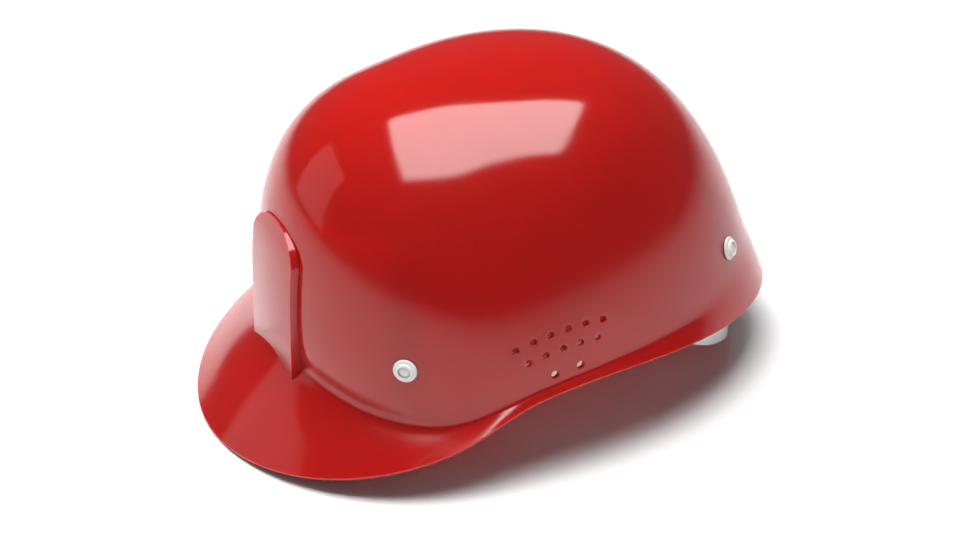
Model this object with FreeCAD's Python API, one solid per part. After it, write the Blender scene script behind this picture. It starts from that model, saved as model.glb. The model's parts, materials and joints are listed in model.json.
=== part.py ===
import FreeCAD, Part
import math
import os

from FreeCAD import Vector as V

# Bump cap: one moulded shell with a visor, four push rivets, and a suspension
# inside it (hangers, crown straps, headband, nape strap, spring locks, brow pad).
# Millimetres.  The cap is drawn level first: front = -Y, wearer's left = +X, crown = +Z.
# At the end everything is tipped nose down onto its two resting places.

# ---- shell: plan and dome ----
half_width = 100.0          # dome, centre to side
front_reach = 83.2          # dome, centre to front
back_reach = 149.0          # dome, centre to back
crown_height = 136.2
wall = 2.2
dome_power_front = 2.63     # fullness of the dome's profile
dome_power_side = 2.15
dome_power_back = 3.0
lean_front = 0.016          # how much the wall spreads towards the bottom
lean_side = 0.021
lean_back = 0.190
crown_shift = 0.021         # the crown sits this far back per mm of height

# ---- shell: rim and visor ----
rim_width_front = 46.0
rim_width_side = 3.4
rim_width_back = 6.2
rim_power_front = 1.45
rim_z_front = -16.4         # height of the free edge
rim_z_side = 2.4
rim_z_back = -38.0
rim_z_power_front = 0.55
rim_z_power_back = 3.0
rim_rise_front = 30.3       # from the free edge up to the foot of the wall
rim_rise_side = 3.5
rim_rise_back = 30.0
rim_rise_power_front = 2.44
rim_rise_power_back = 4.0
foot_fillet = 7.0
rim_crown = 0.05            # visor bulges upwards by this share of its width
edge_bulge = 0.7            # rounding of the free edge

# ---- badge pad on the front ----
pad_width = 50.0
pad_bottom_z = 4.0
pad_spring_z = 74.0         # the straight sides end here
pad_top_z = 87.0
pad_proud = 1.0             # in front of the dome on the centre line
pad_straight_z = 44.0       # below this the face runs straight on
pad_edge_round = 0.5
pad_overrun = 6.0           # cutting slab past the pad's top and bottom

# ---- vents, one group on each side ----
vent_radius = 1.75
vent_low_radius = 2.0
vent_pitch = 9.6
vent_low_pitch = 14.3
vent_rows = [(4.7, 32.3, 6), (9.3, 23.0, 5)]      # first y, height, count
vent_low_row = (21.5, 10.5, 2)
vent_arc_y = 18.0
vent_arc_radius = 120.0

# ---- rivets (y, z on the shell's outside) ----
rivet_places = {"front": (-46.1, 32.5), "rear": (141.0, 9.5)}
flange_radius = 6.0
flange_height = 1.5
collar_radius = 4.3
collar_height = 3.0
recess_radius = 3.1
recess_floor = 1.2
shank_radius = 3.2
shank_clearance = 0.1
barb_radius = 4.2
barb_length = 3.4
barb_step = 1.2             # straight part of the barb
barb_tip_radius = 2.3
rim_chamfer = 0.6           # flange
collar_chamfer = 0.4
pin_radius = 1.5
pin_clearance = 0.05
pin_head_radius = 2.7
pin_head_height = 1.0
pin_head_chamfer = 0.5
pin_point_radius = 0.9
pin_point_length = 0.8
pin_short = 0.4             # the pin ends this far inside the barb
seat_gap = 0.15             # flange to the crowned shell

# ---- hangers ----
hanger_width = 16.0         # plate and leg
shelf_width = 18.0
hanger_thick = 2.6
hanger_wall_gap = 0.8       # flat plate to the middle of the hollow wall
plate_up = 9.0
plate_down = 10.0
shelf_depth = 13.0
shelf_down = 1.5            # below the plate's top
shelf_clear = 0.8           # shelf's outer edge to the wall
shelf_corner = 2.5
plate_corner = 3.0
slot_inwards = 1.0          # the strap's slot, in from the shelf's middle
leg_up = 2.0                # leg's lower end above the headband's
band_gap = 0.35             # hanger leg to the curved headband
peg_radius = 2.4
peg_clearance = 0.1
peg_tip_radius = 3.3
peg_tip_height = 1.0
peg_tip_gap = 0.3

# ---- crown straps ----
strap_width = 13.0
strap_thick = 1.2
strap_slot_gap = 0.35
strap_bead_radius = 1.7
strap_top_gap = 30.0        # shell's inside to the upper strap at the crown
strap_cross_gap = 1.6
strap_drop = 5.0            # straight end below the shelf
strap_stand = 5.0           # straight end above the shelf
strap_power = 2.35          # fullness of the strap's arch
strap_bead_drop = 0.5       # shelf to the bead that stops the strap

# ---- headband ----
band_half_width = 86.0
band_front_y = -76.0
band_back_y = 142.0
band_power = 2.5
band_thick = 1.8
band_bottom_z = -9.0
band_top_z = 11.0

# ---- nape strap, sleeves and locks ----
arm_outer_x = 78.0
arm_thick = 2.0
arm_height = 12.0
arm_z = -1.0
arm_front_y = 17.0
arm_end_y = 72.5            # the arms are straight up to here
nape_back_y = 169.3         # at the height of the arms
nape_lean = 0.2             # the nape part leans back by this much per mm of height
nape_deep_z = -90.0         # the wall is drawn down to here, then cut at the ground
nape_travel = 24.0
nape_notches = 7
sleeve_gap = 0.3
sleeve_wall = 1.6
sleeve_length = 4.0
sleeve_places = (21.0, 44.0)
lock_y = 34.0
lock_tip_radius = 1.15
lock_tip_clearance = 0.2
lock_bite = 0.8             # tip into the arm
notch_depth = 1.1
lock_pin_radius = 1.5
lock_pin_clearance = 0.1
lock_collar_gap = 0.2       # collar to the pocket's floor
lock_collar_radius = 2.8
lock_collar_thick = 1.0
lock_pocket_clearance = 0.25
lock_floor = 1.3            # pocket's inner wall
lock_pull = 1.6
lock_knob_radius = 5.0
lock_knob_thick = 2.2
lock_knob_gap = 0.5
spring_wire = 0.25          # wire radius
spring_radius = 2.2
spring_turns = 3.0
spring_steps = 10           # sections in one turn
spring_gap = 0.1
nape_arch_half = 15.0
nape_arch_height = 9.0
nape_top = [(88.0, -11.5), (108.0, -20.0), (124.0, -31.0), (142.0, -42.0), (168.0, -48.0)]
nape_low = [(90.0, -17.0), (107.0, -30.5), (118.0, -40.0), (132.0, -51.5), (141.0, -59.0)]
nape_flat_y = (150.0, 168.0)     # here the lower edge lies on the ground

# ---- brow pad ----
brow_half_angle = 42.0
brow_thick = 5.0
brow_gap = 0.3
brow_below = 3.0
brow_above = 4.0

# ---- resting pose ----
rest_tip = 10.0             # nose down

COLS = 24
TAU = 2.0 * math.pi


def blend(angle, front, side, back, front_power=2.0, back_power=2.0):
    """A value that runs from the front through the side to the back of the cap."""
    c = math.cos(angle)
    f = max(c, 0.0) ** front_power
    b = max(-c, 0.0) ** back_power
    return side + (front - side) * f + (back - side) * b


def plan_radius(angle):
    reach = front_reach if math.cos(angle) > 0 else back_reach
    return 1.0 / math.hypot(math.sin(angle) / half_width, math.cos(angle) / reach)


def column(angle):
    """Control points of the outer skin in one column, crown to free edge."""
    power = blend(angle, dome_power_front, dome_power_side, dome_power_back)
    lean = blend(angle, lean_front, lean_side, lean_back)
    edge_z = blend(angle, rim_z_front, rim_z_side, rim_z_back, rim_z_power_front, rim_z_power_back)
    foot_z = edge_z + blend(angle, rim_rise_front, rim_rise_side, rim_rise_back,
                            rim_rise_power_front, rim_rise_power_back)
    width = blend(angle, rim_width_front, rim_width_side, rim_width_back, rim_power_front)

    def ring(share, z, out=0.0, height=None):
        r = share * (1 + lean * (1 - z / crown_height)) * plan_radius(angle) + out
        return V(r * math.sin(angle), crown_shift * z - r * math.cos(angle), z if height is None else height)

    rows = [V(0, crown_shift * crown_height, crown_height), ring(0.20, crown_height)]
    for step in (27, 45, 62, 77):
        t = math.radians(step)
        rows.append(ring(math.sin(t) ** (2 / power), crown_height * math.cos(t) ** (2 / power)))
    rows.append(ring(1.0, 0.5 * (foot_z + rows[-1].z)))
    rows.append(ring(1.0, foot_z + foot_fillet))
    foot = ring(1.0, foot_z)
    edge = ring(1.0, foot_z, width, edge_z)
    run = edge - foot
    near = min(foot_fillet / run.Length, 0.34)
    lift = V(0, 0, rim_crown * width)
    rows += [foot, foot + run * near + lift * (2 * near), foot + run * (0.5 * (1 + near)) + lift, edge]
    rows.insert(1, rows[0] + (rows[1] - rows[0]) / 3)
    rows.insert(-1, rows[-1] - (rows[-1] - rows[-2]) / 3)
    return rows


def inset(net, depth):
    """The net moved inwards by depth along its own normals."""
    moved = []
    for j in range(COLS):
        left, here, right = net[j - 1], net[j], net[(j + 1) % COLS]
        line = []
        for i, p in enumerate(here):
            if i < 3:
                line.append(p - V(0, 0, depth))
                continue
            down = here[min(i + 1, len(here) - 1)] - here[i - 1]
            normal = down.cross(right[i] - left[i])
            normal.normalize()
            line.append(p - normal * depth)
        moved.append(line)
    return moved


def skin(net):
    """A surface through a net: clamped crown to edge, closed round the cap."""
    rows = len(net[0])
    poles = [[net[j][i] for j in range(COLS)] for i in range(rows)]
    surface = Part.BSplineSurface()
    surface.buildFromPolesMultsKnots(
        poles, [4] + [1] * (rows - 4) + [4], [1] * (COLS + 1),
        list(range(rows - 2)), list(range(COLS + 1)), False, True, 3, 3)
    return surface


def strip(lines):
    """A narrow quadratic strip with the given three closed pole lines."""
    surface = Part.BSplineSurface()
    surface.buildFromPolesMultsKnots(
        lines, [3, 3], [1] * (COLS + 1), [0, 1], list(range(COLS + 1)), False, True, 2, 3)
    return surface


def closed(faces):
    body = Part.makeSolid(Part.makeShell(faces))
    if body.Volume < 0:
        body.reverse()
    if not body.isValid():
        body.fix(1e-4, 1e-4, 1e-3)
    return body


outer_net = [column(TAU * j / COLS) for j in range(COLS)]
inner_net = inset(outer_net, wall)
outer_skin = skin(outer_net)
inner_skin = skin(inner_net)


def shell_blank():
    lip = []
    for a, b in zip(outer_net, inner_net):
        out = a[-1] - a[-2]
        out.normalize()
        lip.append((a[-1] + b[-1]) / 2 + out * (2 * edge_bulge))
    rim = strip([[a[-1] for a in outer_net], lip, [b[-1] for b in inner_net]])
    joined = Part.makeCompound([outer_skin.toShape(), rim.toShape(), inner_skin.toShape()])
    joined.sewShape()
    return closed(joined.Faces)


# ---- small helpers ----
def box(x0, x1, y0, y1, z0, z1):
    return Part.makeBox(x1 - x0, y1 - y0, z1 - z0, V(x0, y0, z0))


def rod(radius, start, end):
    return Part.makeCylinder(radius, (end - start).Length, start, end - start)


def prism(points, travel):
    """A flat outline pushed along travel."""
    return Part.Face(Part.makePolygon(points + points[:1])).extrude(travel)


def turned(profile):
    """A solid of revolution about Z from (radius, z) points."""
    wire = Part.makePolygon([V(r, 0, z) for r, z in profile + profile[:1]])
    return Part.Face(wire).revolve(V(0, 0, 0), V(0, 0, 1), 360)


def frame(origin, x_dir, y_dir, z_dir):
    return FreeCAD.Placement(origin, FreeCAD.Rotation(x_dir, y_dir, z_dir, "ZXY"))


def moved(shape, placement):
    copy = shape.copy()
    copy.Placement = placement.multiply(copy.Placement)
    return copy


def mirrored(shape):
    return shape.mirror(V(0, 0, 0), V(1, 0, 0))


def spline(points, start=None, end=None):
    curve = Part.BSplineCurve()
    if start is None:
        curve.interpolate(points)
    else:
        curve.interpolate(Points=points, InitialTangent=start, FinalTangent=end)
    return curve


def ribbon(centre, thick, normal_of, travel):
    """A strip of even thickness along centre, pushed along travel."""
    ups = []
    downs = []
    for i, p in enumerate(centre):
        n = normal_of(centre[max(i - 1, 0)], centre[min(i + 1, len(centre) - 1)])
        n.normalize()
        ups.append(p + n * (thick / 2))
        downs.append(p - n * (thick / 2))
    top = spline(ups).toShape()
    low = spline(downs).toShape()
    ends = [Part.makeLine(ups[0], downs[0]), Part.makeLine(ups[-1], downs[-1])]
    return Part.Face(Part.Wire(Part.__sortEdges__([top, low] + ends))).extrude(travel)


# ---- places on the shell ----
def on_skin(y, z):
    """Point and outward direction of the shell's outside, on the +X side."""
    ray = Part.Line(V(300, y, z), V(0, y, z))
    points = ray.intersectCS(outer_skin)[0]
    spot = max((V(p.X, p.Y, p.Z) for p in points), key=lambda p: p.x)
    out = outer_skin.normal(*outer_skin.parameter(spot))
    out.normalize()
    return spot, out if out.x > 0 else out * -1


rivet_spots = {name: on_skin(*place) for name, place in rivet_places.items()}


def vent_spots():
    spots = []
    for radius, pitch, rows in ((vent_radius, vent_pitch, vent_rows),
                                (vent_low_radius, vent_low_pitch, [vent_low_row])):
        for first, height, count in rows:
            for i in range(count):
                y = first + i * pitch
                z = height - (y - vent_arc_y) ** 2 / (2 * vent_arc_radius)
                spots.append(on_skin(y, z) + (radius,))
    return spots


# ---- shell ----
def dome_front_y(z):
    """How far forward the dome's outside is at height z on the centre line."""
    ray = Part.Line(V(0, -300, z), V(0, 0, z))
    return min(p.Y for p in ray.intersectCS(outer_skin)[0])


def badge_pad(core):
    half = pad_width / 2
    arch = Part.Arc(V(half, 0, pad_spring_z), V(0, 0, pad_top_z), V(-half, 0, pad_spring_z)).toShape()
    sides = Part.makePolygon([V(-half, 0, pad_spring_z), V(-half, 0, pad_bottom_z),
                              V(half, 0, pad_bottom_z), V(half, 0, pad_spring_z)])
    outline = Part.Face(Part.Wire(Part.__sortEdges__([arch] + sides.Edges)))
    outline.translate(V(0, -1.5 * front_reach, 0))
    plug = outline.extrude(V(0, front_reach, 0))
    steps = 8
    top_z = pad_top_z + pad_overrun
    heights = [pad_straight_z + (top_z - pad_straight_z) * i / steps for i in range(steps + 1)]
    face = [V(-pad_width, dome_front_y(z) - pad_proud, z) for z in heights]
    front = spline(face)
    down = front.tangent(front.FirstParameter)[0] * -1
    foot_z = pad_bottom_z - pad_overrun
    foot = face[0] + down * ((foot_z - face[0].z) / down.z)
    inside_y = -front_reach / 2
    back = [V(-pad_width, inside_y, face[-1].z), V(-pad_width, inside_y, foot.z)]
    rest = Part.makePolygon([face[-1]] + back + [foot, face[0]])
    side = Part.Face(Part.Wire(Part.__sortEdges__([front.toShape()] + rest.Edges)))
    slab = side.extrude(V(2 * pad_width, 0, 0))
    pad = plug.common(slab)
    boxes = [(e, e.BoundBox) for e in pad.Edges]
    rims = [e for e, b in boxes if b.YMax < inside_y - pad_overrun and b.ZMax > pad_bottom_z + 1]
    return pad.makeFillet(pad_edge_round, rims).cut(core)


def inner_core():
    """Everything inside the middle of the wall, down past the rim."""
    mid = inset(outer_net, wall / 2)
    top = skin(mid)
    low_z = rim_z_back - 30.0
    lower = [V(c[-1].x, c[-1].y, low_z) for c in mid]
    wallface = Part.BSplineSurface()
    wallface.buildFromPolesMultsKnots([[c[-1] for c in mid], lower], [2, 2], [1] * (COLS + 1), [0, 1],
                                      list(range(COLS + 1)), False, True, 1, 3)
    side = wallface.toShape()
    bottom = [e for e in side.Edges if e.BoundBox.ZMax < low_z + 1e-3]
    joined = Part.makeCompound([top.toShape(), side, Part.Face(Part.Wire(bottom))])
    joined.sewShape()
    return closed(joined.Faces)


def make_shell():
    body = shell_blank().fuse(badge_pad(inner_core()))
    tools = []
    for spot, out in rivet_spots.values():
        hole = rod(shank_radius + shank_clearance, spot - out * 3 * wall, spot + out * 3 * wall)
        tools += [hole, mirrored(hole)]
    for spot, out, radius in vent_spots():
        hole = rod(radius, spot - out * 3 * wall, spot + out * 3 * wall)
        tools += [hole, mirrored(hole)]
    return body.cut(tools)


# ---- rivets ----
grip_depth = wall + hanger_wall_gap + hanger_thick
rivet_end = grip_depth + seat_gap + barb_length


def make_rivet():
    bore = pin_radius + pin_clearance
    catch = -(grip_depth + seat_gap)
    return turned([(bore, -rivet_end), (barb_tip_radius, -rivet_end), (barb_radius, catch - barb_step),
                   (barb_radius, catch), (shank_radius, catch), (shank_radius, seat_gap),
                   (flange_radius, seat_gap),
                   (flange_radius, flange_height - rim_chamfer), (flange_radius - rim_chamfer, flange_height),
                   (collar_radius, flange_height), (collar_radius, collar_height - collar_chamfer),
                   (collar_radius - collar_chamfer, collar_height), (recess_radius, collar_height),
                   (recess_radius, recess_floor), (bore, recess_floor)])


def make_pin():
    low = recess_floor + pin_clearance
    top = low + pin_head_height
    end = -rivet_end + pin_short
    return turned([(0, end), (pin_point_radius, end), (pin_radius, end + pin_point_length),
                   (pin_radius, low), (pin_head_radius, low), (pin_head_radius, top - pin_head_chamfer),
                   (pin_head_radius - pin_head_chamfer, top), (0, top)])


def rivet_frame(spot, out):
    across = V(0, 0, 1).cross(out)
    across.normalize()
    return frame(spot, across, out.cross(across), out)


# ---- headband ----
band_mid_y = (band_front_y + band_back_y) / 2
band_half_length = (band_back_y - band_front_y) / 2
band_mid_z = (band_bottom_z + band_top_z) / 2


def band_point(angle, inward=0.0):
    """Point of the headband's outline; angle from the front, through the wearer's left."""
    def raw(a):
        s, c = math.sin(a), math.cos(a)
        x = math.copysign(abs(s) ** (2 / band_power), s) * band_half_width
        y = math.copysign(abs(c) ** (2 / band_power), c) * band_half_length
        return V(x, band_mid_y - y, 0)
    here = raw(angle)
    if inward:
        gx = math.copysign((abs(here.x) / band_half_width) ** (band_power - 1) / band_half_width, here.x)
        dy = here.y - band_mid_y
        gy = math.copysign((abs(dy) / band_half_length) ** (band_power - 1) / band_half_length, dy)
        out = V(gx, gy, 0)
        out.normalize()
        here = here - out * inward
    return here


def band_ring(inward):
    count = 72
    curve = Part.BSplineCurve()
    curve.interpolate(Points=[band_point(TAU * (i + 0.5) / count, inward) for i in range(count)],
                      PeriodicFlag=True)
    return Part.Wire(curve.toShape())


def band_side_x(y, inward=0.0):
    dy = abs(y - band_mid_y) / band_half_length
    return band_half_width * (1 - dy ** band_power) ** (1 / band_power) - inward


def hang_point(spot):
    """The headband's outside nearest to a rivet, and the direction out of it there."""
    best = min((TAU * i / 1440 for i in range(720)),
               key=lambda a: (band_point(a) - V(spot.x, spot.y, 0)).Length)
    here = band_point(best)
    out = here - band_point(best, 1.0)
    return here + V(0, 0, band_mid_z), out


lock_pocket_radius = lock_collar_radius + lock_pocket_clearance
lock_pocket_x = arm_outer_x + sleeve_gap + lock_floor
lock_collar_x = lock_pocket_x + lock_collar_gap
lock_wall_x = band_side_x(lock_y, band_thick)


def make_headband():
    ring = Part.Face(band_ring(0.0)).cut(Part.Face(band_ring(band_thick)))
    body = ring.extrude(V(0, 0, band_top_z - band_bottom_z))
    body.translate(V(0, 0, band_bottom_z))
    lug_half = arm_height / 2 + sleeve_gap + sleeve_wall
    in_x = arm_outer_x - arm_thick - sleeve_gap
    adds = []
    cuts = []
    for y in sleeve_places:
        adds.append(box(in_x - sleeve_wall, band_side_x(y, band_thick / 2), y, y + sleeve_length,
                        arm_z - lug_half, arm_z + lug_half))
    adds.append(box(arm_outer_x + sleeve_gap, band_side_x(lock_y, band_thick / 2), sleeve_places[0],
                    sleeve_places[1] + sleeve_length, arm_z - lug_half, arm_z + lug_half))
    channel = arm_height / 2 + sleeve_gap
    front_y = sleeve_places[0] - sleeve_length
    back_y = sleeve_places[1] + 2 * sleeve_length
    cuts.append(box(in_x, arm_outer_x + sleeve_gap, front_y, back_y, arm_z - channel, arm_z + channel))
    cuts.append(rod(lock_pin_radius + lock_pin_clearance, V(arm_outer_x - 1, lock_y, arm_z),
                    V(band_half_width + 5, lock_y, arm_z)))
    cuts.append(rod(lock_pocket_radius, V(lock_pocket_x, lock_y, arm_z), V(lock_wall_x, lock_y, arm_z)))
    for spot, _ in rivet_spots.values():
        here, out = hang_point(spot)
        cuts.append(rod(peg_radius + peg_clearance, here - out * 5, here + out * 5))
    body = body.fuse(adds + [mirrored(a) for a in adds])
    return body.cut(cuts + [mirrored(c) for c in cuts])


# ---- hangers ----
def make_hanger(spot, out):
    """Plate behind the wall, shelf for the strap, leg pegged to the headband; and where the strap goes."""
    flat = V(out.x, out.y, 0)
    flat.normalize()
    tilt = math.degrees(math.asin(out.z))
    seat = spot - out * wall
    to_world = frame(seat, flat, V(0, 0, 1).cross(flat), V(0, 0, 1))
    half = hanger_width / 2
    plate = box(-hanger_wall_gap - hanger_thick, -hanger_wall_gap, -half, half, -plate_down, plate_up)
    plate = plate.makeFillet(plate_corner, [e for e in plate.Edges if e.BoundBox.XLength > 1])
    plate.rotate(V(0, 0, 0), V(0, 1, 0), -tilt)
    lean = math.sin(math.radians(tilt))
    shelf_out = -hanger_wall_gap - plate_up * lean - shelf_clear
    shelf_in = shelf_out - shelf_depth
    shelf_top = plate_up - shelf_down
    shelf = box(shelf_in, shelf_out, -shelf_width / 2, shelf_width / 2, shelf_top - hanger_thick, shelf_top)
    corners = [e for e in shelf.Edges if e.BoundBox.ZLength > 1 and e.BoundBox.XMax < shelf_in + 1]
    shelf = shelf.makeFillet(shelf_corner, corners)
    slot = to_world.multVec(V((shelf_in + shelf_out) / 2 - slot_inwards, 0, shelf_top))
    here, way = hang_point(spot)
    side = V(0, 0, 1).cross(way)
    leg_half = hanger_width / 2
    leg_low = band_bottom_z + leg_up
    foot_z = seat.z - plate_down * math.cos(math.radians(tilt)) + 0.6
    leg_top = max(foot_z + hanger_thick, band_mid_z + peg_tip_radius)
    leg = box(band_gap, band_gap + hanger_thick, -leg_half, leg_half, leg_low, leg_top)
    leg = moved(leg, frame(V(here.x, here.y, 0), way, side, V(0, 0, 1)))
    grip = flat * (hanger_wall_gap + 0.5 * hanger_thick - plate_down * lean)
    far = [V(seat.x, seat.y, foot_z) - grip + V(0, 0, 1).cross(flat) * s for s in (-leg_half, leg_half)]
    near = [V(here.x, here.y, foot_z) + way * (band_gap + 0.3) + side * s for s in (leg_half, -leg_half)]
    web = prism(far + near, V(0, 0, hanger_thick))
    root = here + way * (band_gap + 0.5)
    tip_start = here - way * (band_thick + peg_tip_gap)
    peg = rod(peg_radius, root, tip_start)
    tip = rod(peg_tip_radius, tip_start, tip_start - way * peg_tip_height)
    body = moved(plate.fuse(shelf), to_world).fuse([leg, web, peg, tip])
    bore = rod(shank_radius + shank_clearance, seat + out * 5, seat - out * 15)
    return body.cut(bore), slot


def strap_cut(slot, along):
    """The slot in a hanger's shelf, turned to the strap that passes through it."""
    half_t = strap_thick / 2 + strap_slot_gap
    half_w = strap_width / 2 + strap_slot_gap
    past = hanger_thick + strap_drop
    return moved(box(-half_t, half_t, -half_w, half_w, -past, strap_stand),
                 frame(slot, along, V(0, 0, 1).cross(along), V(0, 0, 1)))


# ---- crown straps ----
def make_strap(front, rear, top_z):
    """A strap over the crown between two slots, standing straight down into each."""
    run = V(rear.x - front.x, rear.y - front.y, 0)
    length = run.Length
    along = run * (1 / length)
    across = V(0, 0, 1).cross(along)
    count = 24
    power = strap_power
    line = []
    for end in (front, rear):
        tail = end.z - hanger_thick - strap_drop
        line.append([V(end.x, end.y, tail + (end.z + strap_stand - tail) * i / 3) for i in range(3)])
    arc = []
    for i in range(count + 1):
        a = math.pi * i / count
        c = math.copysign(abs(math.cos(a)) ** (2 / power), math.cos(a))
        foot = (front if a < math.pi / 2 else rear).z + strap_stand
        q = length / 2 * (1 - c)
        rise = (top_z - foot) * abs(math.sin(a)) ** (2 / power)
        arc.append(front + along * q + V(0, 0, foot + rise - front.z))
    centre = line[0] + arc + line[1][::-1]
    body = ribbon(centre, strap_thick, lambda a, b: (b - a).cross(across), across * strap_width)
    body.translate(across * (-strap_width / 2))
    beads = []
    for end in (front, rear):
        z = end.z - hanger_thick - strap_bead_radius - strap_bead_drop
        start = V(end.x, end.y, z) - across * (strap_width / 2)
        beads.append(rod(strap_bead_radius, start, start + across * strap_width))
    return body.fuse(beads), along


# ---- nape strap ----
def ground_z(y, floor_level):
    """Height of the resting plane in the level frame."""
    a = math.radians(rest_tip)
    return (floor_level - math.sin(a) * y) / math.cos(a)


def half_ellipse(half, depth):
    """The back half of an ellipse across the ends of the arms."""
    centre = V(0, arm_end_y, 0)
    if depth > half:
        turn = Part.Ellipse(centre + V(0, depth, 0), centre - V(half, 0, 0), centre)
        return Part.Arc(turn, -math.pi / 2, math.pi / 2).toShape()
    return Part.Arc(Part.Ellipse(centre, half, depth), 0, math.pi).toShape()


def u_face(half, back, front):
    ends = [V(-half, front, 0), V(half, front, 0)]
    arc = half_ellipse(half, back - arm_end_y)
    sides = Part.makePolygon([V(-half, arm_end_y, 0)] + ends + [V(half, arm_end_y, 0)])
    return Part.Face(Part.Wire(Part.__sortEdges__([arc] + sides.Edges)))


def make_nape_strap(floor_level):
    outer = u_face(arm_outer_x, nape_back_y, arm_front_y)
    inner = u_face(arm_outer_x - arm_thick, nape_back_y - arm_thick, arm_front_y - 1)
    low_z = arm_z - arm_height / 2
    tall = arm_z + arm_height - nape_deep_z
    walls = outer.cut(inner).extrude(V(0, nape_lean * tall, tall))
    walls.translate(V(0, nape_lean * (nape_deep_z - arm_z), nape_deep_z))
    far_x = arm_outer_x + 5
    up_z = arm_z + arm_height / 2
    front_y = arm_front_y - 5
    flat = V(0, 1, 0)
    top_pts = [V(far_x, arm_end_y, up_z)] + [V(far_x, y, z) for y, z in nape_top]
    low_pts = [V(far_x, arm_end_y, low_z)] + [V(far_x, y, z) for y, z in nape_low]
    low_pts += [V(far_x, y, ground_z(y, floor_level)) for y in nape_flat_y]
    slope = V(0, 1, -math.tan(math.radians(rest_tip)))
    top_edge = spline(top_pts, flat, slope).toShape()
    low_edge = spline(low_pts, flat, slope).toShape()
    start = Part.makePolygon([top_pts[0], V(far_x, front_y, up_z), V(far_x, front_y, low_z), low_pts[0]])
    end = Part.makeLine(top_pts[-1], low_pts[-1])
    side = Part.Face(Part.Wire(Part.__sortEdges__([top_edge, low_edge, end] + start.Edges)))
    body = walls.common(side.extrude(V(-2 * far_x, 0, 0)))
    radius = (nape_arch_half ** 2 + nape_arch_height ** 2) / (2 * nape_arch_height)
    arch_z = ground_z(nape_back_y, floor_level) - radius + nape_arch_height
    ground = box(-far_x, far_x, arm_front_y, 1.5 * nape_back_y, floor_level - 30, floor_level)
    ground.rotate(V(0, 0, 0), V(1, 0, 0), -rest_tip)
    cuts = [ground, rod(radius, V(0, arm_end_y, arch_z), V(0, nape_back_y + 9, arch_z))]
    pitch = nape_travel / (nape_notches - 1)
    for i in range(nape_notches):
        y = lock_y + pitch * i
        notch = rod(lock_tip_radius + lock_tip_clearance, V(arm_outer_x - notch_depth, y, arm_z),
                    V(arm_outer_x + 2, y, arm_z))
        cuts += [notch, mirrored(notch)]
    return body.cut(cuts)


# ---- locks ----
def make_lock_pin():
    """Pulled outwards by its knob; the tip drops into a notch of the nape strap's arm."""
    def at(x):
        return V(x, lock_y, arm_z)
    knob_x = band_half_width + lock_knob_gap
    return rod(lock_tip_radius, at(arm_outer_x - lock_bite), at(lock_collar_x)).fuse([
        rod(lock_pin_radius, at(arm_outer_x + sleeve_gap), at(knob_x + 0.5)),
        rod(lock_collar_radius, at(lock_collar_x), at(lock_collar_x + lock_collar_thick)),
        rod(lock_knob_radius, at(knob_x), at(knob_x + lock_knob_thick))])


def make_lock_spring():
    """A coil of hexagonal rod sections, lofted straight from one to the next."""
    start = lock_collar_x + lock_collar_thick + spring_gap + spring_wire
    length = lock_wall_x - spring_gap - spring_wire - start
    rise = length / (TAU * spring_turns)
    sections = []
    for i in range(int(spring_turns * spring_steps) + 1):
        a = TAU * i / spring_steps
        out = V(0, math.cos(a), math.sin(a))
        ahead = V(rise, -spring_radius * math.sin(a), spring_radius * math.cos(a))
        ahead.normalize()
        middle = V(start + rise * a, lock_y, arm_z) + out * spring_radius
        side = ahead.cross(out)
        turns = [TAU * k / 6 for k in range(6)]
        corners = [middle + (out * math.cos(t) + side * math.sin(t)) * spring_wire for t in turns]
        sections.append(Part.makePolygon(corners + corners[:1]))
    coil = Part.makeLoft(sections, True, True)
    if coil.Volume < 0:
        coil.reverse()
    return coil


# ---- brow pad ----
def make_brow_pad():
    count = 20
    reach = math.radians(brow_half_angle)
    depth = band_thick + brow_gap + brow_thick / 2
    centre = [band_point(reach * (2 * i / count - 1), depth) for i in range(count + 1)]
    low = band_bottom_z - brow_below
    high = band_top_z + brow_above
    body = ribbon(centre, brow_thick, lambda a, b: (b - a).cross(V(0, 0, 1)), V(0, 0, high - low))
    body.translate(V(0, 0, low))
    return body


# ---- build, tip onto the resting places, write ----
parts = {"shell": make_shell()}
for row in ("front", "rear"):
    local = rivet_frame(*rivet_spots[row])
    for label, made in (("rivet", make_rivet()), ("rivet_pin", make_pin())):
        left = moved(made, local)
        parts[label + "_" + row + "_left"] = left
        parts[label + "_" + row + "_right"] = mirrored(left)
hangers = {row: make_hanger(*rivet_spots[row]) for row in ("front", "rear")}
front_slot, rear_slot = hangers["front"][1], hangers["rear"][1]
upper_z = crown_height - wall - strap_top_gap
other_rear = V(-rear_slot.x, rear_slot.y, rear_slot.z)
upper, along = make_strap(front_slot, other_rear, upper_z)
lower = mirrored(make_strap(front_slot, other_rear, upper_z - strap_thick - strap_cross_gap)[0])
flip = V(-along.x, along.y, 0)
for row, slot, way in (("front", front_slot, along), ("rear", rear_slot, flip)):
    left = hangers[row][0].cut(strap_cut(slot, way))
    parts["hanger_" + row + "_left"] = left
    parts["hanger_" + row + "_right"] = mirrored(left)
parts["crown_strap_upper"] = upper
parts["crown_strap_lower"] = lower
parts["headband"] = make_headband()
tipped = parts["shell"].copy()
tipped.rotate(V(0, 0, 0), V(1, 0, 0), rest_tip)
floor_z = tipped.optimalBoundingBox(False, False).ZMin
parts["nape_strap"] = make_nape_strap(floor_z)
for label, made in (("lock_pin", make_lock_pin()), ("lock_spring", make_lock_spring())):
    parts[label + "_left"] = made
    parts[label + "_right"] = mirrored(made)
parts["brow_pad"] = make_brow_pad()

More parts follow.
